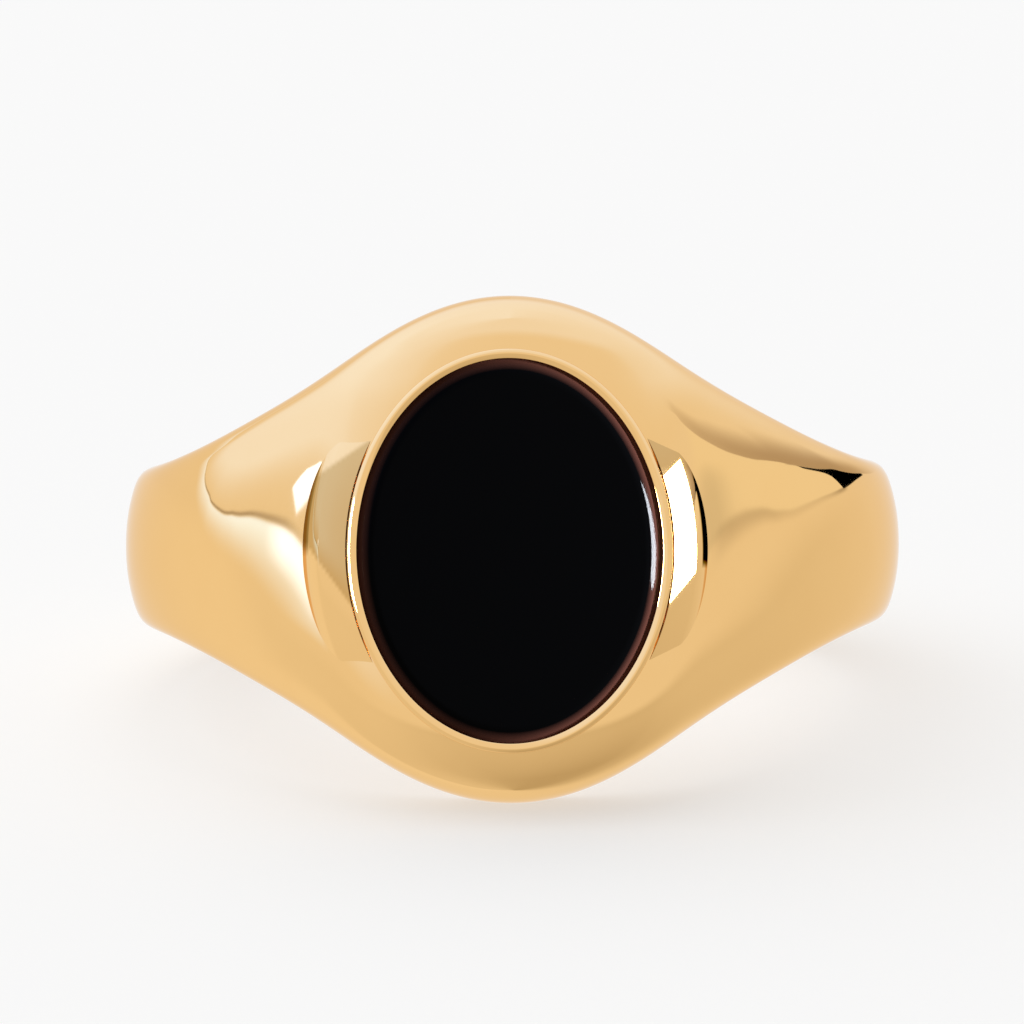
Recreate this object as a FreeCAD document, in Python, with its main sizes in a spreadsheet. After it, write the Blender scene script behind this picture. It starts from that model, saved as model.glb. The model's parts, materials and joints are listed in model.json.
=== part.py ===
import FreeCAD, Part
import math
import os
import Sketcher

# Signet ring set with an oval stone.
# While the pieces are made, the finger hole runs along Z and the face looks along -Y, so a
# "height" is a distance from the finger hole's axis towards the face (y = -height).
# Every finished piece then gets one common Placement: the ring stands on the lower edges of its
# head and of the back of its shank, centred over the origin, with +Z up.

SIZES = {
    "bore_diameter": (17.3, "finger hole, US size 7"),
    "bezel_length": (10.3, "bezel over its outside, along the finger"),
    "bezel_width": (8.3, "bezel over its outside, across the finger"),
    "bezel_wall": (0.2, "thickness of the bezel strip"),
    "bezel_lip": (0.07, "how far the lip leans in over the stone"),
    "lip_depth": (0.14, "depth of the leaning part of the bezel"),
    "lip_round": (0.06, "rounding of the bezel's outer top edge"),
    "rim_height": (11.62, "top of the bezel"),
    "collar_height": (10.92, "top of the flared collar, where the bezel comes out of it"),
    "collar_land": (0.05, "width of the collar's flat top round the bezel"),
    "collar_foot": (9.6, "height of the flared collar's foot, inside the head"),
    "collar_foot_radius": (5.3, "the collar's foot is round"),
    "pocket_floor": (9.45, "floor of the setting's pocket"),
    "seat_height": (9.9, "top of the bearing ring and underside of the stone"),
    "seat_width": (0.65, "width of the bearing ring"),
    "table_height": (11.7, "flat table of the stone"),
    "bevel_width": (0.42, "bevel round the table, measured across it"),
    "bevel_depth": (0.32, "bevel round the table, measured down from it"),
    "base_chamfer": (0.15, "chamfer round the underside of the stone"),
    "comfort_round": (0.2, "rounding of the finger hole's two edges"),
    "inner_depth": (1.0, "how far the uncut skin reaches inside the finger hole"),
    "head_crown": (0.03, "fall of the outer surface towards its edges, at the head"),
    "shank_crown": (0.2, "fall of the outer surface towards its edges, on the shank"),
    "head_corner": (0.3, "fall of the outer surface at its very edge, at the head"),
    "shank_corner": (0.42, "fall of the outer surface at its very edge, on the shank"),
}

# Control sections of the casting's skin, from the face round to the back of the shank: angle
# round the finger, half the width along the finger, and reach from the finger hole's axis.
STATIONS = (
    (0, 6.46, 11.25),
    (8, 6.28, 11.36),
    (15, 5.82, 11.58),
    (21, 5.22, 11.54),
    (27, 4.60, 11.20),
    (34, 3.98, 10.92),
    (43, 3.34, 10.72),
    (54, 2.72, 10.55),
    (68, 2.26, 10.40),
    (84, 2.11, 10.30),
    (102, 2.11, 10.22),
    (122, 2.14, 10.14),
    (142, 2.11, 10.08),
    (162, 1.80, 10.02),
    (180, 1.54, 10.00),
)

HEAD_END = 20  # degrees from the face: the head's flat section is kept up to here
SHANK_START = 70  # degrees from the face: the shank's rounded section is reached here
CUBIC = 3


def make_sheet(doc):
    """The driving dimensions, one row each: note, value, alias."""
    sheet = doc.addObject("Spreadsheet::Sheet", "Sizes")
    rows = [(alias, value, note) for alias, (value, note) in SIZES.items()]
    for angle, half_width, reach in STATIONS:
        rows.append((f"half_width_at_{angle}", half_width, f"half width {angle} degrees round"))
        rows.append((f"reach_at_{angle}", reach, f"reach {angle} degrees round"))
    for row, (alias, value, note) in enumerate(rows, start=1):
        sheet.set(f"A{row}", note)
        sheet.set(f"B{row}", str(value))
        sheet.setAlias(f"B{row}", alias)
    doc.recompute()
    return sheet


def skin_section(sheet, angle, half_width, reach):
    """Control points of one section, from the middle of the outer surface right round it."""
    share = min(1.0, max(0.0, (abs(angle) - HEAD_END) / (SHANK_START - HEAD_END)))
    blend = share * share * (3 - 2 * share)
    crown = sheet.head_crown + blend * (sheet.shank_crown - sheet.head_crown)
    corner = sheet.head_corner + blend * (sheet.shank_corner - sheet.head_corner)
    bore = sheet.bore_diameter / 2
    wall = reach - bore
    inside = bore - sheet.inner_depth
    upper = (
        (0.36 * half_width, reach - 0.25 * crown),
        (0.68 * half_width, reach - crown),
        (0.95 * half_width, reach - corner),
        (1.03 * half_width, reach - 0.62 * wall),
        (half_width, bore - 0.1 * sheet.inner_depth),
        (0.9 * half_width, bore - 0.9 * sheet.inner_depth),
        (0.45 * half_width, inside),
    )
    lower = [(-z, distance) for z, distance in reversed(upper)]
    turn = math.radians(angle)
    around = [(0.0, reach), *upper, (0.0, inside), *lower]
    return [
        FreeCAD.Vector(distance * math.sin(turn), -distance * math.cos(turn), z)
        for z, distance in around
    ]


def make_skin(doc, sheet):
    """Outer skin of the casting: one closed, doubly curved spline face round the finger.

    It changes width, height and section all the way round, which no pad, sweep or primitive
    does, so it is a plain feature whose shape is set here from the sheet.
    """
    right = [angle for angle, _, _ in STATIONS]
    left = [-angle for angle in reversed(right) if 0 < angle < 180]
    poles = []
    for angle in right + left:
        half_width = sheet.get(f"half_width_at_{abs(angle)}")
        reach = sheet.get(f"reach_at_{abs(angle)}")
        poles.append(skin_section(sheet, angle, half_width, reach))
    around, across = len(poles), len(poles[0])
    surface = Part.BSplineSurface()
    surface.buildFromPolesMultsKnots(
        poles,
        [1] * (around + 1),
        [1] * (across + 1),
        [float(i) for i in range(around + 1)],
        [float(i) for i in range(across + 1)],
        True,
        True,
        CUBIC,
        CUBIC,
    )
    skin = doc.addObject("Part::Feature", "Skin")
    solid = Part.Solid(Part.Shell([surface.toShape()]))
    if solid.Volume < 0:
        solid.reverse()
    skin.Shape = solid
    return skin


def facing(height_name, obj):
    """Lay an object flat in a plane parallel to the face, at a named height."""
    turned = FreeCAD.Rotation(FreeCAD.Vector(1, 0, 0), 90)
    obj.Placement = FreeCAD.Placement(FreeCAD.Vector(), turned)
    obj.setExpression("Placement.Base.y", f"-Sizes.{height_name}")


def make_outline(doc, kind, name, height_name):
    """A round or oval outline parallel to the face, starting at its end along the finger."""
    outline = doc.addObject(kind, name)
    facing(height_name, outline)
    upright = FreeCAD.Rotation(FreeCAD.Vector(0, 0, 1), 90)
    outline.Placement.Rotation = outline.Placement.Rotation.multiply(upright)
    return outline


def make_oval(doc, name, height_name, width, length):
    """An oval parallel to the face; width and length are expressions."""
    oval = make_outline(doc, "Part::Ellipse", name, height_name)
    oval.setExpression("MajorRadius", f"({length}) / 2")
    oval.setExpression("MinorRadius", f"({width}) / 2")
    return oval


def make_casting(doc, sheet):
    """Shank, shoulders and head in one casting, with the flared collar and the pocket."""
    skin = make_skin(doc, sheet)

    top_width = "Sizes.bezel_width + 2 * Sizes.collar_land"
    top_length = "Sizes.bezel_length + 2 * Sizes.collar_land"
    top = make_oval(doc, "CollarTop", "collar_height", top_width, top_length)
    foot = make_outline(doc, "Part::Circle", "CollarFoot", "collar_foot")
    foot.setExpression("Radius", "Sizes.collar_foot_radius")
    collar = doc.addObject("Part::Loft", "Collar")
    collar.Sections = [foot, top]
    collar.Solid = True
    collar.Ruled = True

    blank = doc.addObject("Part::Fuse", "Blank")
    blank.Base = skin
    blank.Tool = collar

    mouth = make_oval(doc, "PocketOutline", "rim_height", "Sizes.bezel_width", "Sizes.bezel_length")
    pocket = doc.addObject("Part::Extrusion", "Pocket")
    pocket.Base = mouth
    pocket.DirMode = "Custom"
    pocket.Dir = FreeCAD.Vector(0, 1, 0)
    pocket.setExpression("LengthFwd", "Sizes.rim_height - Sizes.pocket_floor")
    pocket.Solid = True
    pocketed = doc.addObject("Part::Cut", "PocketedBlank")
    pocketed.Base = blank
    pocketed.Tool = pocket

    bore = doc.addObject("Part::Cylinder", "Bore")
    bore.setExpression("Radius", "Sizes.bore_diameter / 2")
    bore.setExpression("Height", "4 * Sizes.half_width_at_0")
    bore.setExpression("Placement.Base.z", "-2 * Sizes.half_width_at_0")
    bored = doc.addObject("Part::Cut", "BoredBlank")
    bored.Base = pocketed
    bored.Tool = bore
    doc.recompute()

    casting = doc.addObject("Part::Fillet", "Casting")
    casting.Base = bored
    casting.Edges = [
        (number, sheet.comfort_round, sheet.comfort_round)
        for number in bore_edges(bored.Shape, sheet.bore_diameter / 2)
    ]
    casting.Label = "ring_body"
    return casting


def bore_edges(shape, radius):
    """Numbers of the edges that go round the finger, where its hole's wall meets the skin."""
    numbers = []
    for number, edge in enumerate(shape.Edges, start=1):
        points = edge.discretize(9)
        on_wall = all(abs(math.hypot(p.x, p.y) - radius) < 0.001 for p in points)
        across = math.hypot(points[0].x - points[4].x, points[0].y - points[4].y)
        if on_wall and across > 0.5:
            numbers.append(number)
    return numbers


def oval_sketch(body, name, height_name, outer, inner=None):
    """A sketch parallel to the face with one oval, or two for an oval ring.

    outer and inner are pairs of expressions, (width, length).
    """
    sketch = body.newObject("Sketcher::SketchObject", name)
    plane = next(p for p in body.Origin.OriginFeatures if p.Role == "XZ_Plane")
    sketch.AttachmentSupport = [(plane, "")]
    sketch.MapMode = "FlatFace"
    sketch.setExpression("AttachmentOffset.Base.z", f"Sizes.{height_name}")
    ovals = [outer] if inner is None else [outer, inner]
    for label, (width, length) in zip(("Outer", "Inner"), ovals):
        start = 5.0 if label == "Outer" else 4.0
        ellipse = Part.Ellipse(
            FreeCAD.Vector(0, start, 0), FreeCAD.Vector(0.8 * start, 0, 0), FreeCAD.Vector()
        )
        index = sketch.addGeometry(ellipse, False)
        sketch.exposeInternalGeometry(index)
        major, minor = index + 1, index + 2
        sketch.addConstraint(Sketcher.Constraint("Coincident", index, 3, -1, 1))
        sketch.addConstraint(Sketcher.Constraint("Vertical", major))
        long_size = sketch.addConstraint(Sketcher.Constraint("Distance", major, 2 * start))
        short_size = sketch.addConstraint(Sketcher.Constraint("Distance", minor, 1.6 * start))
        sketch.renameConstraint(long_size, f"{label}Length")
        sketch.renameConstraint(short_size, f"{label}Width")
        sketch.setExpression(f"Constraints.{label}Length", length)
        sketch.setExpression(f"Constraints.{label}Width", width)
    return sketch


def pad(body, name, sketch, length):
    """Pad a sketch towards the face by an expression's length."""
    feature = body.newObject("PartDesign::Pad", name)
    feature.Profile = sketch
    feature.setExpression("Length", length)
    sketch.Visibility = False
    return feature


def edge_at(shape, height, outermost=True):
    """Name of the oval edge at a height: the outermost one, or the innermost."""
    found = []
    for number, edge in enumerate(shape.Edges, start=1):
        box = edge.BoundBox
        if abs(box.YMin + height) < 0.001 and abs(box.YMax + height) < 0.001:
            found.append((box.XLength, f"Edge{number}"))
    return max(found)[1] if outermost else min(found)[1]


def make_bezel(doc, sheet):
    """Oval strip that stands in the pocket, with a lip leaning in over the stone's edge."""
    body = doc.addObject("PartDesign::Body", "Bezel")
    outer = ("Sizes.bezel_width", "Sizes.bezel_length")
    inner = (
        "Sizes.bezel_width - 2 * Sizes.bezel_wall",
        "Sizes.bezel_length - 2 * Sizes.bezel_wall",
    )
    mouth = (
        f"{inner[0]} - 2 * Sizes.bezel_lip",
        f"{inner[1]} - 2 * Sizes.bezel_lip",
    )
    wall = oval_sketch(body, "WallSketch", "pocket_floor", outer, inner)
    pad(body, "Wall", wall, "Sizes.rim_height - Sizes.lip_depth - Sizes.pocket_floor")
    lip = oval_sketch(body, "LipSketch", "rim_height", outer, mouth)
    lip_pad = pad(body, "Lip", lip, "Sizes.lip_depth")
    lip_pad.Reversed = True
    doc.recompute()
    rounding = body.newObject("PartDesign::Fillet", "RimRounding")
    rounding.Base = (lip_pad, [edge_at(lip_pad.Shape, sheet.rim_height)])
    rounding.setExpression("Radius", "Sizes.lip_round")
    body.Label = "bezel"
    return body


def make_bearing_ring(doc):
    """Flat oval ring on the pocket's floor that carries the edge of the stone."""
    body = doc.addObject("PartDesign::Body", "BearingRing")
    outer = (
        "Sizes.bezel_width - 2 * Sizes.bezel_wall",
        "Sizes.bezel_length - 2 * Sizes.bezel_wall",
    )
    inner = (f"{outer[0]} - 2 * Sizes.seat_width", f"{outer[1]} - 2 * Sizes.seat_width")
    ring = oval_sketch(body, "RingSketch", "pocket_floor", outer, inner)
    pad(body, "Ring", ring, "Sizes.seat_height - Sizes.pocket_floor")
    body.Label = "bearing_ring"
    return body


def make_cement_bed(doc):
    """Setting cement that fills the bearing ring and backs the stone."""
    body = doc.addObject("PartDesign::Body", "CementBed")
    narrowing = "2 * (Sizes.bezel_wall + Sizes.seat_width)"
    outline = (f"Sizes.bezel_width - {narrowing}", f"Sizes.bezel_length - {narrowing}")
    bed = oval_sketch(body, "BedSketch", "pocket_floor", outline)
    pad(body, "Bed", bed, "Sizes.seat_height - Sizes.pocket_floor")
    body.Label = "cement_bed"
    return body


def make_stone(doc, sheet):
    """Oval tablet with a flat table, a bevel round it and an eased underside."""
    body = doc.addObject("PartDesign::Body", "Stone")
    girdle = (
        "Sizes.bezel_width - 2 * Sizes.bezel_wall",
        "Sizes.bezel_length - 2 * Sizes.bezel_wall",
    )
    outline = oval_sketch(body, "GirdleSketch", "seat_height", girdle)
    tablet = pad(body, "Tablet", outline, "Sizes.table_height - Sizes.seat_height")
    doc.recompute()
    bevel = body.newObject("PartDesign::Chamfer", "TableBevel")
    bevel.Base = (tablet, [edge_at(tablet.Shape, sheet.table_height)])
    bevel.ChamferType = "Two distances"
    bevel.setExpression("Size", "Sizes.bevel_width")
    bevel.setExpression("Size2", "Sizes.bevel_depth")
    doc.recompute()
    easing = body.newObject("PartDesign::Chamfer", "BaseChamfer")
    easing.Base = (bevel, [edge_at(bevel.Shape, sheet.seat_height)])
    easing.setExpression("Size", "Sizes.base_chamfer")
    body.Label = "onyx_stone"
    return body


def rest_placement(pieces):
    """Stand the ring on the lowest points of its head and of the back of its shank, centred."""
    points = pieces[0].Shape.tessellate(0.01)[0]
    head = min(points, key=lambda p: p.z)
    back = [p for p in points if p.y > 0]
    tilt = min(math.atan2(p.z - head.z, p.y - head.y) for p in back)
    turn = FreeCAD.Rotation(FreeCAD.Vector(1, 0, 0), -math.degrees(tilt))
    boxes = []
    for piece in pieces:
        turned = piece.Shape.copy()
        turned.Placement = FreeCAD.Placement(FreeCAD.Vector(), turn)
        boxes.append(turned.optimalBoundingBox())
    middle = (min(box.YMin for box in boxes) + max(box.YMax for box in boxes)) / 2
    shift = FreeCAD.Vector(-boxes[0].Center.x, -middle, -boxes[0].ZMin)
    return FreeCAD.Placement(shift, turn)


def check_document(doc, pieces):
    """Stop before anything is written if a feature or a piece has failed."""
    for obj in doc.Objects:
        if {"Invalid", "Error"} & set(obj.State):
            raise RuntimeError(f"{obj.Name} failed: {obj.State}")
    for piece in pieces:
        if piece.Shape.isNull() or not piece.Shape.isValid():
            raise RuntimeError(f"{piece.Label} has no valid shape")
        if len(piece.Shape.Solids) != 1:
            raise RuntimeError(f"{piece.Label} is not one solid")


def main():
    os.makedirs("parts", exist_ok=True)
    doc = FreeCAD.newDocument("signet_ring")
    sheet = make_sheet(doc)
    pieces = [
        make_casting(doc, sheet),
        make_bezel(doc, sheet),
        make_bearing_ring(doc),
        make_cement_bed(doc),
        make_stone(doc, sheet),
    ]
    doc.recompute()
    check_document(doc, pieces)
    rest = rest_placement(pieces)
    for piece in pieces:
        piece.Placement = rest
    doc.recompute()
    check_document(doc, pieces)
    for piece in pieces:
        piece.Shape.exportStep(os.path.join("parts", f"{piece.Label}.step"))
        box = piece.Shape.optimalBoundingBox()
        print(f"{piece.Label}: {piece.Shape.Volume:.2f} mm3, {box}")
    print("rest placement", rest)


main()
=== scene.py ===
import json
import math

import bmesh
import bpy
from mathutils import Matrix, Quaternion, Vector


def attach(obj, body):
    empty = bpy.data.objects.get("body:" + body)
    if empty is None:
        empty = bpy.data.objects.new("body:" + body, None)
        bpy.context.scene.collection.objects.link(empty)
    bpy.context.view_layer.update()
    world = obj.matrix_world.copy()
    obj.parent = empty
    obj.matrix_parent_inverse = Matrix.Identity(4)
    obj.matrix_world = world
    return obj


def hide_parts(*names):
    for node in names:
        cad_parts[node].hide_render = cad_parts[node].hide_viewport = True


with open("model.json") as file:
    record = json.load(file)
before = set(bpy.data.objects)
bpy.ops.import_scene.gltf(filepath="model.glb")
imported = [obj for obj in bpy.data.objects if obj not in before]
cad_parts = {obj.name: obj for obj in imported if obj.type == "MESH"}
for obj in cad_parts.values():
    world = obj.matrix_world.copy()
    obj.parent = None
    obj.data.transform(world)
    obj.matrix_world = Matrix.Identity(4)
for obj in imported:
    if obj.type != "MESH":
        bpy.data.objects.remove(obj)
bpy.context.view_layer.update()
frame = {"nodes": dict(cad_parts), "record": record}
record = frame["record"]

MM = 0.001

# ------------------------------------------------------------------ sizes, in mm
# heights in the head are measured from the finger hole's axis, square to the face
BORE = record["mounts"][0]["dims"]["r_mm"]
BEZEL_A, BEZEL_B = 4.15, 5.15  # half width and half length of the bezel, outside
BEZEL_WALL = 0.2
BEZEL_BASE, RIM = 11.0, 11.62
BEZEL_GAP = 0.035  # between the bezel and the collar
COLLAR_LAND = 0.05  # from the bezel to where the collar's wall starts
COLLAR_TOP, COLLAR_FOOT = 10.95, 9.6
COLLAR_EASED = 0.02  # rounding of the collar's inner edge
COLLAR_STEP = 0.025  # along the wall, from one loop to the next
# the wall's slope in degrees, by distance outwards from its top
COLLAR_SLOPES = ((0.0, 26), (0.62, 39), (0.63, 46), (0.82, 62), (0.95, 74))
COLLAR_LEAN = -0.10  # the foot sits this much off centre
TABLE, SEAT = 11.70, 9.9  # the stone's face and its underside
BEVEL_WIDTH, BEVEL_DEPTH = 0.42, 0.30
EDGE_FADE, EDGE_FADE_SIDES = 0.10, 0.16  # height of the brown edge's fade, and what the sides add
OVAL_STEPS = 288  # points round each oval

# poles of the casting's skin: degrees from the middle of the head, half width, distance from the axis
STATIONS = (
    (0, 6.46, 11.25),
    (8, 6.28, 11.36),
    (15, 5.82, 11.58),
    (21, 5.22, 11.54),
    (27, 4.60, 11.20),
    (34, 3.98, 10.92),
    (43, 3.34, 10.72),
    (54, 2.72, 10.55),
    (68, 2.26, 10.40),
    (84, 2.11, 10.30),
    (102, 2.11, 10.22),
    (122, 2.14, 10.14),
    (142, 2.11, 10.08),
    (162, 1.80, 10.02),
    (180, 1.54, 10.00),
)
HEAD_END, SHANK_START = 20, 70  # the section changes between these, in degrees
HEAD_CROWN, SHANK_CROWN = 0.03, 0.20
HEAD_CORNER, SHANK_CORNER = 0.30, 0.42
INNER_DEPTH = 1.0  # how far the section's poles reach inside the finger hole, before it is cut
COMFORT = 0.2  # rounding of the finger hole's two edges

# the ring's own frame (finger hole along Z, face towards -Y) placed in the row frame
bore_axis = Vector(record["mounts"][0]["axis"]).normalized()
tilt = math.atan2(bore_axis.y, bore_axis.z)
TO_ROW = Matrix.Translation(Vector(record["mounts"][0]["pos_m"])) @ Matrix.Rotation(-tilt, 4, "X")


def place(points):
    """Points in mm in the ring's own frame -> metres in the row frame."""
    return [TO_ROW @ (Vector(p) * MM) for p in points]


def own_points(obj):
    """The object's vertices in mm in the ring's own frame."""
    return [TO_ROW.inverted() @ v.co / MM for v in obj.data.vertices]


def point_attribute(obj, name, values):
    attribute = obj.data.attributes.new(name, "FLOAT", "POINT")
    attribute.data.foreach_set("value", values)


def fade(distance, width):
    """0 to 1 over that width."""
    return min(1.0, max(0.0, distance / width))


def make_object(name, verts, faces, material):
    mesh = bpy.data.meshes.new(name)
    mesh.from_pydata([tuple(v) for v in verts], [], faces)
    mesh.validate()
    bm = bmesh.new()
    bm.from_mesh(mesh)
    bmesh.ops.recalc_face_normals(bm, faces=bm.faces)
    bm.to_mesh(mesh)
    bm.free()
    mesh.polygons.foreach_set("use_smooth", [True] * len(mesh.polygons))
    obj = bpy.data.objects.new(name, mesh)
    bpy.context.scene.collection.objects.link(obj)
    obj.data.materials.append(material)
    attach(obj, "root")
    return obj


def mark_sharp(obj, degrees):
    bm = bmesh.new()
    bm.from_mesh(obj.data)
    for edge in bm.edges:
        if len(edge.link_faces) == 2 and edge.calc_face_angle() > math.radians(degrees):
            edge.smooth = False
    bm.to_mesh(obj.data)
    bm.free()


# ------------------------------------------------------------------ the casting
def section_poles(angle, half_width, reach):
    """A closed section across the ring at that angle, symmetric, flatter in the head than in the shank."""
    share = min(1.0, max(0.0, (abs(angle) - HEAD_END) / (SHANK_START - HEAD_END)))
    blend = share * share * (3 - 2 * share)
    crown = HEAD_CROWN + blend * (SHANK_CROWN - HEAD_CROWN)
    corner = HEAD_CORNER + blend * (SHANK_CORNER - HEAD_CORNER)
    wall = reach - BORE
    upper = [
        (0.36 * half_width, reach - 0.25 * crown),
        (0.68 * half_width, reach - crown),
        (0.95 * half_width, reach - corner),
        (1.03 * half_width, reach - 0.62 * wall),
        (half_width, BORE - 0.1 * INNER_DEPTH),
        (0.9 * half_width, BORE - 0.9 * INNER_DEPTH),
        (0.45 * half_width, BORE - INNER_DEPTH),
    ]
    lower = [(-z, d) for z, d in reversed(upper)]
    turn = math.radians(angle)
    around = [(0.0, reach), *upper, (0.0, BORE - INNER_DEPTH), *lower]
    return [Vector((d * math.sin(turn), -d * math.cos(turn), z)) for z, d in around]


def cubic(t):
    return (
        (1 - t) ** 3 / 6,
        (3 * t ** 3 - 6 * t ** 2 + 4) / 6,
        (-3 * t ** 3 + 3 * t ** 2 + 3 * t + 1) / 6,
        t ** 3 / 6,
    )


def refine(rows, steps):
    """Uniform cubic B-spline with a closed list of rows as its poles, steps points per span."""
    count, out = len(rows), []
    for i in range(count):
        for s in range(steps):
            w = cubic(s / steps)
            picked = [rows[(i + k - 1) % count] for k in range(4)]
            out.append([sum((w[k] * picked[k][j] for k in range(4)), Vector()) for j in range(len(rows[0]))])
    return out


def closed_spline(points, steps):
    return [row[0] for row in refine([[p] for p in points], steps)]


def bend(a, corner, b, t):
    """A point on the curve from a to b that rounds off the corner."""
    return a * (1 - t) ** 2 + corner * 2 * t * (1 - t) + b * t ** 2


def resample(points, count):
    """count points evenly along an open polyline."""
    lengths = [0.0]
    for a, b in zip(points, points[1:]):
        lengths.append(lengths[-1] + (b - a).length)
    out, k = [], 0
    for i in range(count):
        want = lengths[-1] * i / (count - 1)
        while k < len(points) - 2 and lengths[k + 1] < want:
            k += 1
        span = lengths[k + 1] - lengths[k]
        out.append(points[k].lerp(points[k + 1], (want - lengths[k]) / span if span else 0.0))
    return out


def trim(points, amount):
    """The polyline without its first and last stretch of that length."""
    for _ in range(2):
        left = amount
        while (points[1] - points[0]).length < left:
            left -= (points[1] - points[0]).length
            points = points[1:]
        points = [points[0].lerp(points[1], left / (points[1] - points[0]).length)] + points[1:]
        points = points[::-1]
    return points


def radius_of(p):
    return math.hypot(p.x, p.y)


def casting_loop(curve, outer_steps, corner_steps=6, wall_steps=12):
    """The closed section: the outer surface, a rounded edge, the finger hole's wall, a rounded edge."""
    half = len(curve) // 2
    up = next(i for i in range(half) if radius_of(curve[i]) < BORE)
    a, b = curve[up - 1], curve[up]
    edge = a.lerp(b, (radius_of(a) - BORE) / (radius_of(a) - radius_of(b)))
    upper = curve[:up] + [edge]
    lower = [Vector((p.x, p.y, -p.z)) for p in upper]
    skin = lower[::-1] + upper[1:]
    loop = resample(trim(skin, COMFORT), outer_steps)
    first, last = loop[0], loop[-1]
    top_in = Vector((edge.x, edge.y, edge.z - COMFORT))
    base_in = Vector((top_in.x, top_in.y, -top_in.z))
    base_edge = Vector((edge.x, edge.y, -edge.z))
    loop += [bend(last, edge, top_in, s / corner_steps) for s in range(1, corner_steps)]
    loop += [top_in.lerp(base_in, s / wall_steps) for s in range(wall_steps + 1)]
    loop += [bend(base_in, base_edge, first, s / corner_steps) for s in range(1, corner_steps)]
    return loop


def casting_mesh(spans=10, outer_steps=110, fine=48):
    """spans loops from one station to the next, each cut from a section with fine points per pole."""
    right = [s[0] for s in STATIONS]
    left = [-a for a in reversed(right) if 0 < a < 180]
    by_angle = {a: (w, r) for a, w, r in STATIONS}
    rows = [section_poles(a, *by_angle[abs(a)]) for a in right + left]
    return grid([casting_loop(closed_spline(poles, fine), outer_steps) for poles in refine(rows, spans)])


def grid(loops, close_rows=True):
    """Quads between closed loops of equal length."""
    count, width = len(loops), len(loops[0])
    verts = [p for loop in loops for p in loop]
    faces = []
    for i in range(count if close_rows else count - 1):
        for j in range(width):
            a, b = i, (i + 1) % count
            c, d = j, (j + 1) % width
            faces.append((a * width + c, b * width + c, b * width + d, a * width + d))
    return verts, faces


# ------------------------------------------------------------------ sweeps round the oval
def oval_offset(half_width, half_length, offset, height, shift=0.0):
    """A loop a constant distance outside an oval, moved sideways by shift."""
    out = []
    for i in range(OVAL_STEPS):
        t = 2 * math.pi * i / OVAL_STEPS
        x, z = half_width * math.cos(t), half_length * math.sin(t)
        n = Vector((math.cos(t) / half_width, 0, math.sin(t) / half_length)).normalized()
        out.append(Vector((shift + x + n.x * offset, -height, z + n.z * offset)))
    return out


def round_profile(points, radius_steps):
    """Rounds a polyline of (offset, height); radius_steps is (radius, steps) for each inner point."""
    out = [Vector(points[0])]
    for i in range(1, len(points) - 1):
        radius, steps = radius_steps[i - 1]
        corner = Vector(points[i])
        before, after = Vector(points[i - 1]), Vector(points[i + 1])
        if radius == 0:
            out.append(corner)
            continue
        a = corner + (before - corner).normalized() * radius
        b = corner + (after - corner).normalized() * radius
        out += [bend(a, corner, b, s / steps) for s in range(steps + 1)]
    out.append(Vector(points[-1]))
    return out


# ------------------------------------------------------------------ materials
GOLD_PALE, GOLD_DEEP = (0.92, 0.60, 0.25, 1), (0.906, 0.582, 0.2375, 1)
GOLD_GRAZING = (0.95, 0.87, 0.75, 1)  # its tint where it is seen at a low angle


def new_material(name):
    mat = bpy.data.materials.new(name)
    mat.use_nodes = True
    nodes, links = mat.node_tree.nodes, mat.node_tree.links
    shader = next(n for n in nodes if n.type == "BSDF_PRINCIPLED")
    return mat, nodes, links, shader


def gold_material(name, rough=0.028, painted_shade=None):
    """Polished yellow gold. The last argument names a point attribute of painted shade and painted dark
    reflection: 0 for clean gold and 1 for a painted black line.
    """
    mat, nodes, links, shader = new_material(name)
    shader.inputs["Metallic"].default_value = 1.0
    shader.inputs["Specular Tint"].default_value = GOLD_GRAZING
    coords = nodes.new("ShaderNodeTexCoord")
    noise = nodes.new("ShaderNodeTexNoise")
    noise.inputs["Scale"].default_value = 900.0
    noise.inputs["Detail"].default_value = 3.0
    links.new(coords.outputs["Object"], noise.inputs["Vector"])
    polish = nodes.new("ShaderNodeMapRange")
    polish.inputs["To Min"].default_value = rough * 0.8
    polish.inputs["To Max"].default_value = rough * 1.25
    links.new(noise.outputs["Fac"], polish.inputs["Value"])
    links.new(polish.outputs["Result"], shader.inputs["Roughness"])
    tone = nodes.new("ShaderNodeMixRGB")
    tone.inputs["Color1"].default_value = GOLD_PALE
    tone.inputs["Color2"].default_value = GOLD_DEEP
    links.new(noise.outputs["Fac"], tone.inputs["Fac"])
    colour = tone.outputs["Color"]
    # painted shade and painted dark reflection: the attribute darkens both the gold's colour and the tint of
    # its reflections
    if painted_shade:
        dark = nodes.new("ShaderNodeAttribute")
        dark.attribute_name = painted_shade
        scale = nodes.new("ShaderNodeValToRGB")
        scale.color_ramp.elements[0].color = (1, 1, 1, 1)
        scale.color_ramp.elements[1].color = (0.004, 0.002, 0.001, 1)
        scale.color_ramp.elements.new(0.3).color = (0.72, 0.67, 0.55, 1)
        links.new(dark.outputs["Fac"], scale.inputs["Fac"])
        mix = nodes.new("ShaderNodeMixRGB")
        mix.blend_type = "MULTIPLY"
        mix.inputs["Fac"].default_value = 1.0
        links.new(colour, mix.inputs["Color1"])
        links.new(scale.outputs["Color"], mix.inputs["Color2"])
        colour = mix.outputs["Color"]
        edge = nodes.new("ShaderNodeMixRGB")
        edge.inputs["Color1"].default_value = GOLD_GRAZING
        edge.inputs["Color2"].default_value = (0.02, 0.015, 0.01, 1)
        links.new(dark.outputs["Fac"], edge.inputs["Fac"])
        links.new(edge.outputs["Color"], shader.inputs["Specular Tint"])
    links.new(colour, shader.inputs["Base Color"])
    return mat


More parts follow.
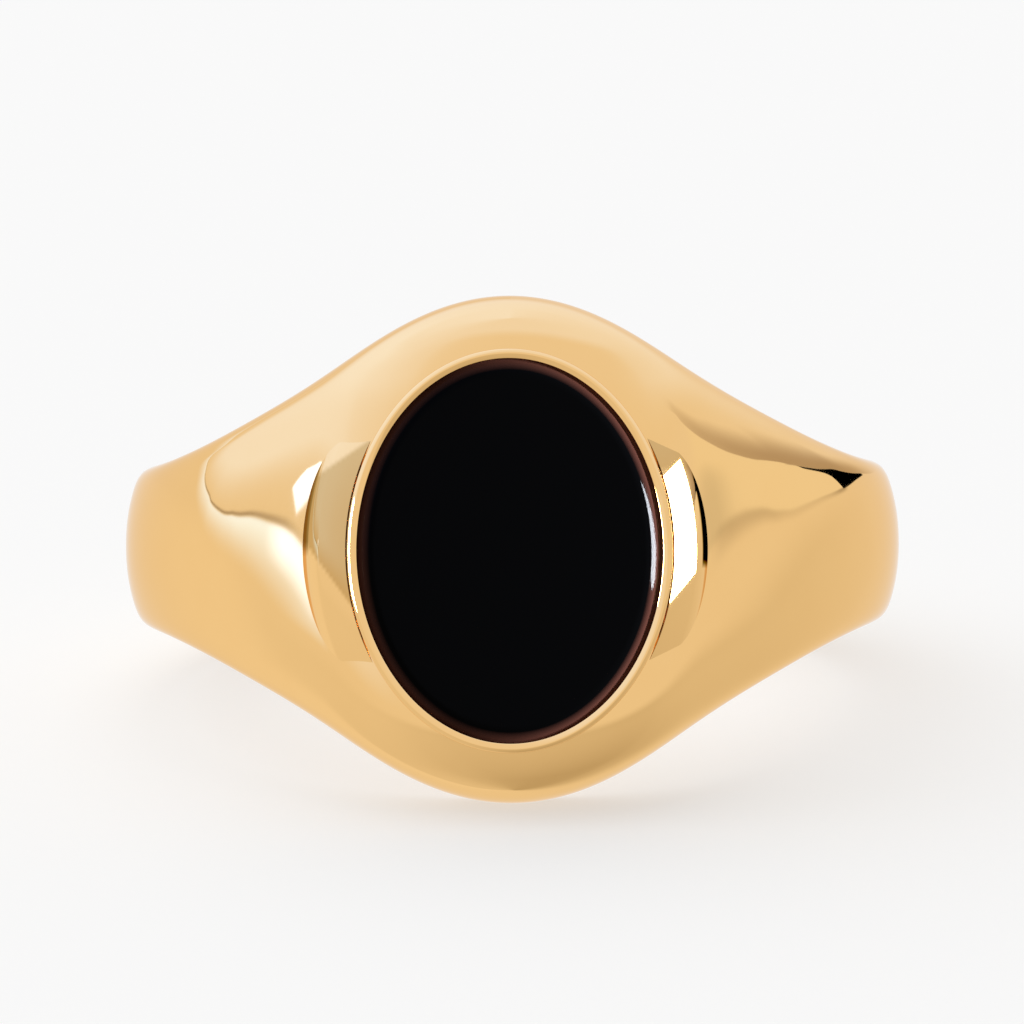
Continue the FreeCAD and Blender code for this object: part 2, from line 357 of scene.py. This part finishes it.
def cement_material():
    """Cured jeweller's cement: matt, dark, with fine mottling."""
    mat, nodes, links, shader = new_material("stone_cement")
    shader.inputs["Roughness"].default_value = 0.7
    coords = nodes.new("ShaderNodeTexCoord")
    noise = nodes.new("ShaderNodeTexNoise")
    noise.inputs["Scale"].default_value = 2200.0
    noise.inputs["Detail"].default_value = 5.0
    links.new(coords.outputs["Object"], noise.inputs["Vector"])
    tone = nodes.new("ShaderNodeMixRGB")
    tone.inputs["Color1"].default_value = (0.045, 0.038, 0.030, 1)
    tone.inputs["Color2"].default_value = (0.110, 0.095, 0.075, 1)
    links.new(noise.outputs["Fac"], tone.inputs["Fac"])
    links.new(tone.outputs["Color"], shader.inputs["Base Color"])
    return mat


def onyx_material():
    """Black, and brown where the point attribute "edge" is 1. The low specular level keeps its face black."""
    mat, nodes, links, shader = new_material("black_onyx")
    shader.inputs["Roughness"].default_value = 0.05
    shader.inputs["IOR"].default_value = 1.54
    shader.inputs["Specular IOR Level"].default_value = 0.01
    edge = nodes.new("ShaderNodeAttribute")
    edge.attribute_name = "edge"
    mix = nodes.new("ShaderNodeMixRGB")
    mix.inputs["Color1"].default_value = (0.0006, 0.0006, 0.0007, 1)
    mix.inputs["Color2"].default_value = (0.075, 0.026, 0.018, 1)
    links.new(edge.outputs["Fac"], mix.inputs["Fac"])
    links.new(mix.outputs["Color"], shader.inputs["Base Color"])
    return mat


gold = gold_material("polished_gold")
onyx = onyx_material()

# ------------------------------------------------------------------ pieces
verts, faces = casting_mesh()
casting = make_object("casting", place(verts), faces, gold)
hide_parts("ring_body")


def slope_at(width):
    for (w0, s0), (w1, s1) in zip(COLLAR_SLOPES, COLLAR_SLOPES[1:]):
        if width < w1:
            return s0 + (s1 - s0) * (width - w0) / (w1 - w0)
    return COLLAR_SLOPES[-1][1]


def collar_mesh():
    """Flared collar round the bezel, its wall rounding over from a gentle slope to a steep foot."""
    inset = 0.3 * COLLAR_EASED
    loops = [
        oval_offset(BEZEL_A, BEZEL_B, BEZEL_GAP, COLLAR_FOOT),
        oval_offset(BEZEL_A, BEZEL_B, BEZEL_GAP, COLLAR_TOP - COLLAR_EASED),
        oval_offset(BEZEL_A, BEZEL_B, BEZEL_GAP + inset, COLLAR_TOP - inset),
    ]
    width, drop = 0.0, 0.0
    while COLLAR_TOP - drop > COLLAR_FOOT:
        lean = COLLAR_LEAN * min(1.0, width)
        loops.append(oval_offset(BEZEL_A, BEZEL_B, COLLAR_LAND + width, COLLAR_TOP - drop, lean))
        slope = math.radians(slope_at(width))
        width += COLLAR_STEP * math.cos(slope)
        drop += COLLAR_STEP * math.sin(slope)
    return grid(loops)


verts, faces = collar_mesh()
# the collar's gold carries painted shade and painted dark reflections, set point by point below
collar_gold_painted_shade = gold_material("collar_gold_painted_shade", painted_shade="crease")
collar = make_object("collar", place(verts), faces, collar_gold_painted_shade)
mark_sharp(collar, 50)

# the collar's painted shade, 0 for clean gold and 1 for black: it stands in for darker reflections on the
# wall and for a dark line along the crease at its foot; x and z are in the ring's own frame
WALL_PAINTED_SHADE, LEFT_CREASE_PAINTED_SHADE = 0.30, 0.55
LEFT_CREASE_FROM, RIGHT_CREASE_FROM, CREASE_FADE = 0.85, 0.78, 0.03  # distance out from the wall's top
# the left wall is painted darker between two slanting lines, each with a z, a slope and the x of that z
LEFT_WALL_LOW, LEFT_WALL_HIGH, LEFT_WALL_FADE = (0.1, 1.36, -5.18), (2.2, 0.66, -4.62), 0.12
# z where each of the others starts or ends, and the distance it fades over
LEFT_CREASE_START = (-0.1, 0.3)
RIGHT_WALL_START = (1.8, 0.3)
RIGHT_CREASE_START, RIGHT_CREASE_END = (-0.45, 0.1), (2.0, 0.2)


# painted shade on the left of the collar: a darker band on the wall and a dark line at the crease
def left_painted_shade(p, width):
    z, slope, x = LEFT_WALL_LOW
    wall = WALL_PAINTED_SHADE * fade(p.z - z - slope * (x - p.x), LEFT_WALL_FADE)
    z, slope, x = LEFT_WALL_HIGH
    wall *= fade(z + slope * (p.x - x) - p.z, LEFT_WALL_FADE)
    crease = LEFT_CREASE_PAINTED_SHADE * fade(width - LEFT_CREASE_FROM, CREASE_FADE)
    z, length = LEFT_CREASE_START
    return max(wall, crease * fade(p.z - z, length))


# painted shade on the right of the collar: a darker upper wall and a black line at the crease
def right_painted_shade(p, width):
    z, length = RIGHT_WALL_START
    wall = WALL_PAINTED_SHADE * fade(p.z - z, length)
    crease = fade(width - RIGHT_CREASE_FROM, CREASE_FADE)
    z, length = RIGHT_CREASE_START
    crease *= fade(p.z - z, length)
    z, length = RIGHT_CREASE_END
    return max(wall, crease * fade(z - p.z, length))


def painted_collar_shade(p):
    """How dark the collar's painted shade is at a point: the wall above, the crease at its foot."""
    edge = math.hypot(p.x / BEZEL_A, p.z / BEZEL_B)
    width = (edge - 1) / edge * math.hypot(p.x, p.z) - COLLAR_LAND
    if p.x < 0:
        return left_painted_shade(p, width / (1 - COLLAR_LEAN))
    return right_painted_shade(p, width / (1 + COLLAR_LEAN))


# the collar's painted shade, stored on each point
point_attribute(collar, "crease", [painted_collar_shade(p) for p in own_points(collar)])


def bezel_mesh():
    """A thin oval strip whose rim has two small facets and overhangs the stone's edge."""
    profile = round_profile(
        [  # (offset from the outer oval, height), from the outer wall over the rim to the inside
            (0.0, BEZEL_BASE),
            (0.0, RIM - 0.06),
            (-0.10, RIM),
            (-0.255, RIM - 0.05),
            (-0.27, RIM - 0.2),
            (-BEZEL_WALL, RIM - 0.25),
            (-BEZEL_WALL, BEZEL_BASE),
        ],
        [(0.04, 4), (0.04, 4), (0.03, 4), (0.0, 0), (0.0, 0)],
    )
    return grid([oval_offset(BEZEL_A, BEZEL_B, p[0], p[1]) for p in profile])


verts, faces = bezel_mesh()
bezel = make_object("bezel_rim", place(verts), faces, gold)
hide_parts("bezel")


def stone_mesh():
    """Flat oval stone with a bevelled edge, closed by a fan of triangles above and below."""
    half_width, half_length = BEZEL_A - BEZEL_WALL, BEZEL_B - BEZEL_WALL
    profile = round_profile(
        [  # (offset from the stone's outline, height), from the underside to the face
            (-0.1, SEAT),
            (0.0, SEAT + 0.1),
            (0.0, TABLE - BEVEL_DEPTH),
            (-BEVEL_WIDTH, TABLE),
            (-0.9, TABLE),
        ],
        [(0.05, 3), (0.06, 4), (0.10, 8)],
    )
    loops = [oval_offset(half_width, half_length, p[0], p[1]) for p in profile]
    verts, faces = grid(loops, close_rows=False)
    width = len(loops[0])
    verts += [Vector((0, -SEAT, 0)), Vector((0, -TABLE, 0))]
    base, top = len(verts) - 2, len(verts) - 1
    last = (len(loops) - 1) * width
    for j in range(width):
        k = (j + 1) % width
        faces.append((base, k, j))
        faces.append((top, last + j, last + k))
    return verts, faces


def edge_tone(p):
    """1 up to the foot of the stone's bevel, fading to 0 above it, over more height at the two sides."""
    side = abs(p.x) / max(0.1, math.hypot(p.x, p.z))
    reach = EDGE_FADE + EDGE_FADE_SIDES * side
    return fade(TABLE - BEVEL_DEPTH + reach + p.y, reach)


verts, faces = stone_mesh()
stone = make_object("onyx", place(verts), faces, onyx)
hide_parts("onyx_stone")
point_attribute(stone, "edge", [edge_tone(p) for p in own_points(stone)])

inner_materials = {
    "bearing_ring": gold_material("satin_gold", rough=0.25),
    "cement_bed": cement_material(),
}
for node, material in inner_materials.items():
    frame["nodes"][node].data.materials.clear()
    frame["nodes"][node].data.materials.append(material)

# ------------------------------------------------------------------ studio
# Polished gold sees a painted World, in which a direction is an azimuth and an elevation in degrees:
# azimuth 0 is to the front and + is to the right. Bluish tones look pale or white in gold.
SKY_DIM, SKY_PALE = (0.92, 0.90, 0.90), (1.05, 1.30, 2.10)
TABLE_TONE, TABLE_SHADE = (0.955, 0.935, 0.93), (0.35, 0.29, 0.18)
STRIP_GLOW, TAIL_GLOW, LAMP_GLOW = (1.10, 1.56, 2.9), (1.5, 2.1, 4.2), (1.6, 2.2, 4.5)
DARK_LINE, FLAG_TONE, BLACK = (0.10, 0.05, 0.0), (0.18, 0.08, 0.0), (0.0, 0.0, 0.0)
BACKDROP = (0.947, 0.947, 0.947)
FILL, LEAST_FILL = 0.56, 0.08  # light on dull surfaces, and the least share of it from any side


def link_or_set(tree, socket, value):
    if isinstance(value, bpy.types.NodeSocket):
        tree.links.new(value, socket)
    else:
        socket.default_value = value


def calc(tree, operation, *values):
    node = tree.nodes.new("ShaderNodeMath")
    node.operation = operation
    for socket, value in zip(node.inputs, values):
        link_or_set(tree, socket, value)
    return node.outputs[0]


def product(tree, first, *others):
    for other in others:
        first = calc(tree, "MULTIPLY", first, other)
    return first


def ramp(tree, value, start, end, low=0.0, high=1.0, smooth=True):
    """Goes from low to high as value goes from start to end."""
    node = tree.nodes.new("ShaderNodeMapRange")
    node.interpolation_type = "SMOOTHSTEP" if smooth else "LINEAR"
    settings = {"Value": value, "From Min": start, "From Max": end, "To Min": low, "To Max": high}
    for name, setting in settings.items():
        link_or_set(tree, node.inputs[name], setting)
    return node.outputs[0]


def track(tree, value, points):
    """A smooth curve through (value, result) points."""
    low, high = min(p[1] for p in points), max(p[1] for p in points)
    first, last = points[0][0], points[-1][0]
    node = tree.nodes.new("ShaderNodeFloatCurve")
    curve = node.mapping.curves[0]
    for k, (x, y) in enumerate(points):
        spot = ((x - first) / (last - first), (y - low) / (high - low))
        if k == 0:
            curve.points[0].location = spot
        elif k == len(points) - 1:
            curve.points[-1].location = spot
        else:
            curve.points.new(*spot)
    node.mapping.update()
    tree.links.new(ramp(tree, value, first, last, smooth=False), node.inputs["Value"])
    return ramp(tree, node.outputs[0], 0.0, 1.0, low, high, smooth=False)


def blend(tree, factor, a, b):
    """Colour a where factor is 0 and b where it is 1."""
    node = tree.nodes.new("ShaderNodeMix")
    node.data_type = "RGBA"
    node.clamp_factor = True
    link_or_set(tree, node.inputs[0], factor)
    for socket, value in zip((node.inputs[6], node.inputs[7]), (a, b)):
        link_or_set(tree, socket, (*value, 1.0) if isinstance(value, tuple) else value)
    return node.outputs[2]


def grey(tree, value):
    node = tree.nodes.new("ShaderNodeCombineXYZ")
    for socket in node.inputs:
        tree.links.new(value, socket)
    return node.outputs[0]


def open_sky(tree, azimuth, elevation):
    """How pale the sky is: pale on the left and warmer on the right, in three bands of elevation."""
    high = track(tree, azimuth, (
        (-180, 0.85), (-160, 0.92), (-120, 1.0), (-60, 0.75), (-20, 0.42), (0, 0.10), (20, 0.08),
        (60, 0.34), (100, 0.48), (140, 0.62), (180, 0.85),
    ))
    low = track(tree, azimuth, (
        (-180, 0.05), (-160, 0.08), (-140, 0.25), (-120, 0.78), (-100, 0.80), (-80, 0.75), (-60, 0.5),
        (-35, 0.25), (0, 0.0), (60, 0.02), (100, 0.10), (140, 0.18), (180, 0.05),
    ))
    zenith = track(tree, azimuth, (
        (-180, 0.85), (-120, 0.8), (-40, 0.6), (0, 0.45), (60, 0.48), (120, 0.55), (180, 0.85),
    ))
    pale = ramp(tree, ramp(tree, elevation, 10.0, 32.0), 0.0, 1.0, low, high, smooth=False)
    return ramp(tree, ramp(tree, elevation, 50.0, 66.0), 0.0, 1.0, pale, zenith, smooth=False)


def strip_top(tree, azimuth):
    """Elevation of the top edge of the strip light, low on the left."""
    return track(tree, azimuth, (
        (-180, 14.0), (-140, 13.0), (-134, 12.2), (-129, 8.3), (-122, 4.1), (-116.5, 1.0), (-111.5, -0.5),
        (-106, -1.4), (-99.5, -0.9), (-92, 0.1), (-88, 0.4), (-85, 0.6), (-70, 0.6), (180, 0.6),
    ))


def add_strip(tree, sky, azimuth, above):
    """The strip light, with a fine dark line along its top edge; above is degrees over that edge."""
    length = track(tree, azimuth, (
        (-180, 0.0), (-155, 0.1), (-141, 0.45), (-126, 0.55), (-113, 0.75), (-102, 0.85), (-92, 1.0),
        (-84, 1.0), (-78, 0.0), (180, 0.0),
    ))
    strip = product(tree, ramp(tree, above, 0.05, -0.15), ramp(tree, above, -3.2, -0.25, smooth=False))
    strip = product(tree, calc(tree, "POWER", strip, 1.4), length)
    sky = blend(tree, strip, sky, STRIP_GLOW)
    line = track(tree, azimuth, (
        (-180, 0.0), (-142, 0.0), (-130, 0.12), (-118, 0.3), (-110, 0.6), (-92, 0.55), (-86, 0.3),
        (-82, 0.0), (180, 0.0),
    ))
    thin = product(tree, ramp(tree, above, -0.05, 0.1), ramp(tree, above, 0.36, 0.12))
    return blend(tree, product(tree, line, thin), sky, DARK_LINE)


def add_table(tree, sky, azimuth, elevation):
    """The table, with the ring's own shade in front and to the right."""
    below = ramp(tree, elevation, -1.0, -6.0)
    sky = blend(tree, below, sky, TABLE_TONE)
    shade = track(tree, azimuth, (
        (-180, 0.04), (-142, 0.03), (-103, 0.0), (-88, 0.14), (-47, 0.18), (-14, 0.33), (0, 0.46),
        (20, 0.52), (40, 0.50), (60, 0.42), (88, 0.34), (103, 0.28), (131, 0.14), (149, 0.06), (180, 0.04),
    ))
    shade = product(tree, shade, ramp(tree, elevation, -10.0, -55.0, 0.72, 1.2, smooth=False))
    return blend(tree, product(tree, shade, below), sky, TABLE_SHADE)


def add_tail(tree, sky, azimuth, above):
    """The strip's bright end, which hangs lower than the rest."""
    tail = product(
        tree, ramp(tree, azimuth, -90.5, -87.0), ramp(tree, azimuth, -83.0, -84.0),
        ramp(tree, above, 0.05, -0.15), ramp(tree, above, -1.7, -0.4),
    )
    return blend(tree, tail, sky, TAIL_GLOW)


def add_lamp(tree, sky, azimuth, elevation):
    """A small lamp on the left, between a lower and an upper edge."""
    low = track(tree, azimuth, (
        (-180, 1.6), (-87.1, 1.6), (-86.4, 1.1), (-85.5, 1.1), (-84.6, 1.5), (-83.6, 2.0), (-82.8, 2.3),
        (-81.7, 2.9), (-80.2, 3.8), (180, 3.8),
    ))
    high = track(tree, azimuth, (
        (-180, 1.6), (-87.1, 1.6), (-86.5, 2.2), (-85.9, 2.7), (-84, 3.2), (-80.2, 3.8), (180, 3.8),
    ))
    lamp = product(
        tree, ramp(tree, calc(tree, "SUBTRACT", elevation, low), -0.04, 0.04),
        ramp(tree, calc(tree, "SUBTRACT", high, elevation), -0.04, 0.04),
        ramp(tree, azimuth, -87.3, -87.1), ramp(tree, azimuth, -79.8, -80.2),
    )
    return blend(tree, lamp, sky, LAMP_GLOW)


def flag_edge(tree, azimuth):
    """Elevation of the lower edge of the dark flag, low on the right."""
    return track(tree, azimuth, (
        (-180, 16.0), (62, 16.0), (70, 14.3), (78, 9.9), (84.5, 6.7), (88, 5.3), (90.5, 4.7), (94, 4.6),
        (99.5, 4.8), (107.5, 4.2), (112, 3.7), (117, 3.1), (122, 2.5), (128, 2.0), (133, 0.9),
        (138.5, -0.4), (144.3, -1.5), (155, -4.0), (180, -8.0),
    ))


def add_flag(tree, sky, azimuth, over):
    """The dark flag, sharp at its lower edge and fading upwards; over is degrees above that edge."""
    depth = track(tree, azimuth, (
        (-180, 0.0), (62, 0.0), (72, 0.14), (80, 0.28), (88, 0.42), (95, 0.52), (105, 0.56), (125, 0.56),
        (138, 0.5), (146, 0.36), (155, 0.12), (168, 0.0), (180, 0.0),
    ))
    reach = track(tree, azimuth, (
        (-180, 6.0), (90, 6.0), (100, 6.5), (118, 11.0), (130, 10.0), (142, 8.0), (180, 8.0),
    ))
    flag = product(tree, ramp(tree, over, -0.1, 0.1), depth, ramp(tree, over, 0.8, reach, 1.0, 0.0))
    return blend(tree, flag, sky, FLAG_TONE)


def add_tongue(tree, sky, azimuth, elevation, over):
    """A pale tongue between the flag and the horizon, dimmer at its front end, with a dark seam below."""
    bottom = track(tree, azimuth, (
        (-180, 0.9), (82, 0.9), (85, 0.8), (87, 0.7), (89, 0.6), (96, -0.4), (104.5, -1.3), (115, -1.7),
        (128, -1.9), (180, -1.9),
    ))
    height = calc(tree, "SUBTRACT", elevation, bottom)
    inside = product(tree, ramp(tree, height, -0.15, 0.15), ramp(tree, over, 0.1, -0.1))
    strength = track(tree, azimuth, ((-180, 0.0), (76, 0.0), (84, 0.9), (128, 0.9), (132, 0.0), (180, 0.0)))
    tone = track(tree, azimuth, ((-180, 0.74), (82, 0.74), (85.5, 0.80), (90, 0.96), (180, 0.96)))
    tone = ramp(tree, ramp(tree, elevation, 1.6, 3.6), 0.0, 1.0, tone, 0.96, smooth=False)
    sky = blend(tree, product(tree, inside, strength), sky, grey(tree, tone))
    seam = product(tree, ramp(tree, height, -0.8, 0.0), ramp(tree, height, 0.3, 0.0), track(tree, azimuth, (
        (-180, 0.0), (82, 0.0), (86, 0.30), (96, 0.20), (104, 0.14), (115, 0.18), (124, 0.40), (128, 0.5),
        (131, 0.0), (180, 0.0),
    )))
    return blend(tree, seam, sky, DARK_LINE)


def add_gap(tree, sky, azimuth, elevation, over):
    """A black gap under the flag, thinning out forwards."""
    bottom = track(tree, azimuth, (
        (-180, 4.2), (106, 4.2), (112, 3.35), (117, 2.6), (121, 1.9), (124, 1.1), (126, 0.1), (126.9, -1.0),
        (127.6, -1.95), (136, -2.05), (142, -2.3), (146, -2.4), (180, -2.4),
    ))
    height = calc(tree, "SUBTRACT", elevation, bottom)
    gap = product(tree, ramp(tree, height, -0.05, 0.05), ramp(tree, over, 0.05, -0.05))
    ends = product(tree, ramp(tree, azimuth, 104.0, 110.0), ramp(tree, azimuth, 146.5, 145.0))
    return blend(tree, product(tree, gap, ends), sky, BLACK)


def studio_light():
    """The painted studio for glossy rays, a plain backdrop for the camera and a soft fill for the rest."""
    world = bpy.data.worlds.new("studio")
    bpy.context.scene.world = world
    world.use_nodes = True
    tree = world.node_tree
    coords = tree.nodes.new("ShaderNodeTexCoord")
    split = tree.nodes.new("ShaderNodeSeparateXYZ")
    tree.links.new(coords.outputs["Generated"], split.inputs[0])
    x, y, z = split.outputs
    azimuth = calc(tree, "DEGREES", calc(tree, "ARCTAN2", x, calc(tree, "MULTIPLY", y, -1.0)))
    elevation = calc(tree, "DEGREES", calc(tree, "ARCSINE", z))
    above = calc(tree, "SUBTRACT", elevation, strip_top(tree, azimuth))
    over = calc(tree, "SUBTRACT", elevation, flag_edge(tree, azimuth))

    pale = product(tree, open_sky(tree, azimuth, elevation), ramp(tree, above, -1.0, 7.0))
    sky = blend(tree, pale, SKY_DIM, SKY_PALE)
    sky = add_strip(tree, sky, azimuth, above)
    sky = add_table(tree, sky, azimuth, elevation)
    sky = add_tail(tree, sky, azimuth, above)
    sky = add_lamp(tree, sky, azimuth, elevation)
    sky = add_flag(tree, sky, azimuth, over)
    sky = add_tongue(tree, sky, azimuth, elevation, over)
    sky = add_gap(tree, sky, azimuth, elevation, over)

    # the fill is strongest from behind and from the left
    behind = calc(tree, "ADD", product(tree, y, 0.85), product(tree, x, -0.45))
    share = calc(tree, "MAXIMUM", calc(tree, "ADD", behind, 1.0), LEAST_FILL)
    fill = grey(tree, product(tree, share, FILL))
    path = tree.nodes.new("ShaderNodeLightPath")
    plain = blend(tree, path.outputs["Is Camera Ray"], fill, BACKDROP)
    shown = blend(tree, path.outputs["Is Glossy Ray"], plain, sky)
    tree.links.new(shown, tree.nodes["Background"].inputs["Color"])


def panel(name, centre, target, size, energy, color, only, spin=0.0, shape="RECTANGLE"):
    """An area light; centre, target and size in mm, spin in degrees. It lights only the one piece."""
    light = bpy.data.lights.new(name, "AREA")
    light.shape = shape
    light.size, light.size_y = size[0] * MM, size[1] * MM
    light.energy = energy
    light.color = color
    obj = bpy.data.objects.new(name, light)
    obj.location = Vector(centre) * MM
    obj.rotation_mode = "QUATERNION"
    turn = (Vector(target) - Vector(centre)).to_track_quat("-Z", "Y")
    obj.rotation_quaternion = turn @ Quaternion((0, 0, 1), math.radians(spin))
    obj.visible_camera = False
    bpy.context.scene.collection.objects.link(obj)
    group = bpy.data.collections.new(f"{name}_lights")
    group.objects.link(only)
    obj.light_linking.receiver_collection = group


def sun(name, direction, strength, spread):
    """Soft light from far away in that direction, unseen in the gold; spread in degrees."""
    light = bpy.data.lights.new(name, "SUN")
    light.energy = strength
    light.angle = math.radians(spread)
    obj = bpy.data.objects.new(name, light)
    obj.rotation_mode = "QUATERNION"
    obj.rotation_quaternion = Vector(direction).to_track_quat("Z", "Y")
    obj.visible_glossy = False
    bpy.context.scene.collection.objects.link(obj)


def pale_floor(half_side=6):
    """A wide floor, sides in metres. Much of its tone is its own light, as on a lit table, which keeps
    the shadows soft. The gold sees the studio's table tone instead."""
    material, _, _, shader = new_material("pale_floor")
    shader.inputs["Base Color"].default_value = (0.50, 0.50, 0.50, 1)
    shader.inputs["Roughness"].default_value = 1.0
    shader.inputs["Specular IOR Level"].default_value = 0.0
    shader.inputs["Emission Color"].default_value = (1.0, 1.0, 1.0, 1)
    shader.inputs["Emission Strength"].default_value = 0.53
    mesh = bpy.data.meshes.new("floor")
    corners = [(x * half_side, y * half_side, 0) for x, y in ((-1, -1), (1, -1), (1, 1), (-1, 1))]
    mesh.from_pydata(corners, [], [(0, 1, 2, 3)])
    mesh.materials.append(material)
    floor = bpy.data.objects.new("floor", mesh)
    bpy.context.scene.collection.objects.link(floor)
    floor.visible_glossy = False


def toward(azimuth, elevation, distance, start):
    """The point that far from start in a direction: azimuth 0 is to the front, + to the right."""
    a, e = math.radians(azimuth), math.radians(elevation)
    return (
        start[0] + distance * math.cos(e) * math.sin(a),
        start[1] - distance * math.cos(e) * math.cos(a),
        start[2] + distance * math.sin(e),
    )


studio_light()
pale_floor()
sun("top_light", (-0.5, 0.35, 1.0), strength=1.02, spread=95)
white, cool_white = (1.0, 1.0, 1.0), (0.85, 0.92, 1.0)
stone_spot, wall_spot, rim_spot = (3.6, -10.5, 8.0), (4.7, -10.2, 8.0), (-4.0, -11.0, 7.5)
panel(
    "stone_strip", toward(71.5, 7, 60, stone_spot), stone_spot, (5.0, 31), 0.27, cool_white,
    only=stone, spin=-6, shape="ELLIPSE",
)
panel("wall_panel", toward(66, 8.0, 40, wall_spot), wall_spot, (34.0, 21.4), 0.056, white, only=collar)
panel("rim_panel", toward(-62, 5.5, 60, rim_spot), rim_spot, (14.0, 26.0), 0.050, white, only=bezel)

# ------------------------------------------------------------------ camera
LENS, SENSOR = 553.0, 36.0
DISTANCE = 0.40  # m, from the ring's face
AIM_SHIFT = (0.065, 0.99, 0)  # mm, right and up in the picture
# degrees: above the ring's own face direction, to the right of it, and turned in the picture
RISE, YAW, ROLL = 0.8, 0.35, -0.6

cam = bpy.data.cameras.new("camera")
cam.sensor_width = SENSOR
cam.lens = LENS
cam.clip_start, cam.clip_end = 0.01, 20.0
camera = bpy.data.objects.new("camera", cam)
bpy.context.scene.collection.objects.link(camera)
face_centre = TO_ROW @ Vector((0, -RIM * MM, 0))
elevation, azimuth = tilt + math.radians(RISE), math.radians(YAW)
back = Vector((
    math.cos(elevation) * math.sin(azimuth),
    -math.cos(elevation) * math.cos(azimuth),
    math.sin(elevation),
))
view = (-back).to_track_quat("-Z", "Y")
camera.location = face_centre + view @ Vector(AIM_SHIFT) * MM + back * DISTANCE
camera.rotation_mode = "QUATERNION"
camera.rotation_quaternion = view @ Quaternion((0, 0, 1), math.radians(ROLL))
bpy.context.scene.camera = camera
bpy.context.scene.view_settings.view_transform = "Standard"
